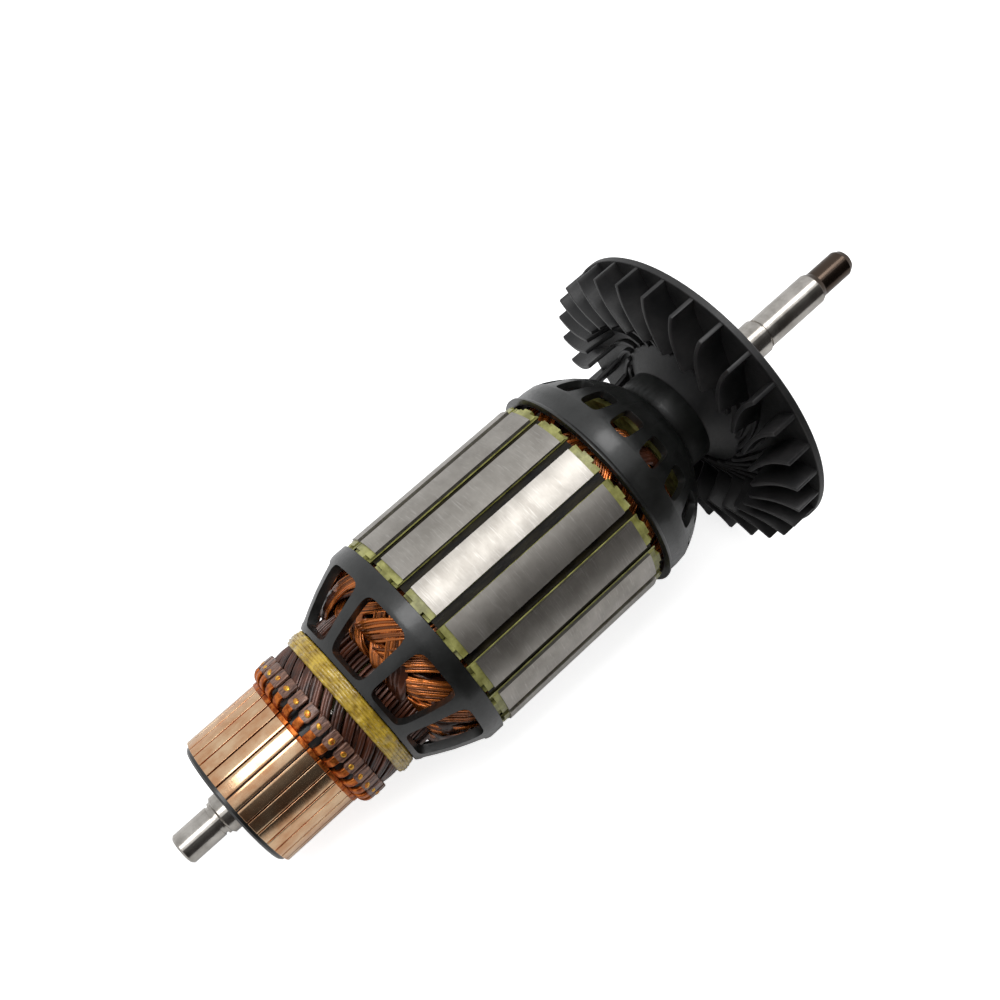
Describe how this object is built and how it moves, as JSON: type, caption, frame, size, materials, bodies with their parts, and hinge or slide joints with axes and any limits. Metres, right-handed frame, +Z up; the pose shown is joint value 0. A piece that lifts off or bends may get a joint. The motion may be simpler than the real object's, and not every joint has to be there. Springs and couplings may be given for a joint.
{
  "type": "motor armature",
  "caption": "Wound armature of a universal motor: slotted core, coils under moulded cages, commutator with riser hooks, cooling fan and a shaft with two bearing journals",
  "frame": {"origin": "centre of the bounding box in plan, at the level of the table that the armature lies on", "axes": "+Z up; +X along the heading of the shaft from commutator to fan, which rises by the lean at which the armature rests on its front cage and two fan blades"},
  "size_m": [0.2216, 0.0842, 0.0841],
  "materials": {
    "steel": "turned and ground, with light brushing marks",
    "laminations": "stack of stamped sheets, ground over",
    "fibre": "green insulating fibre",
    "wedge": "black varnished fibre",
    "copper_wire": "enamelled copper wire under dark varnish",
    "copper_bar": "turned copper",
    "moulding": "black moulded resin",
    "cord": "yellow cord soaked in resin",
    "fan": "black glass-filled nylon"
  },
  "bodies": {
    "root": {"shaft": "steel", "shaft_sleeve": "fibre", "core": "laminations", "front_end_plate": "fibre", "rear_end_plate": "fibre", "slot_liners": "fibre", "slot_wedges": "wedge", "commutator_hub": "moulding", "lead_band": "cord", "front_cage": "moulding", "rear_cage": "moulding", "fan": "fan", "commutator_bar_01": "copper_bar", "commutator_bar_02": "copper_bar", "commutator_bar_03": "copper_bar", "commutator_bar_04": "copper_bar", "commutator_bar_05": "copper_bar", "commutator_bar_06": "copper_bar", "commutator_bar_07": "copper_bar", "commutator_bar_08": "copper_bar", "commutator_bar_09": "copper_bar", "commutator_bar_10": "copper_bar", "commutator_bar_11": "copper_bar", "commutator_bar_12": "copper_bar", "commutator_bar_13": "copper_bar", "commutator_bar_14": "copper_bar", "commutator_bar_15": "copper_bar", "commutator_bar_16": "copper_bar", "commutator_bar_17": "copper_bar", "commutator_bar_18": "copper_bar", "commutator_bar_19": "copper_bar", "commutator_bar_20": "copper_bar", "commutator_bar_21": "copper_bar", "commutator_bar_22": "copper_bar", "commutator_bar_23": "copper_bar", "commutator_bar_24": "copper_bar", "commutator_bar_25": "copper_bar", "commutator_bar_26": "copper_bar", "commutator_bar_27": "copper_bar", "commutator_bar_28": "copper_bar", "commutator_bar_29": "copper_bar", "commutator_bar_30": "copper_bar", "commutator_bar_31": "copper_bar", "commutator_bar_32": "copper_bar", "coil_01": "copper_wire", "coil_02": "copper_wire", "coil_03": "copper_wire", "coil_04": "copper_wire", "coil_05": "copper_wire", "coil_06": "copper_wire", "coil_07": "copper_wire", "coil_08": "copper_wire", "coil_09": "copper_wire", "coil_10": "copper_wire", "coil_11": "copper_wire", "coil_12": "copper_wire", "coil_13": "copper_wire", "coil_14": "copper_wire", "coil_15": "copper_wire", "coil_16": "copper_wire"}
  },
  "joints": []
}
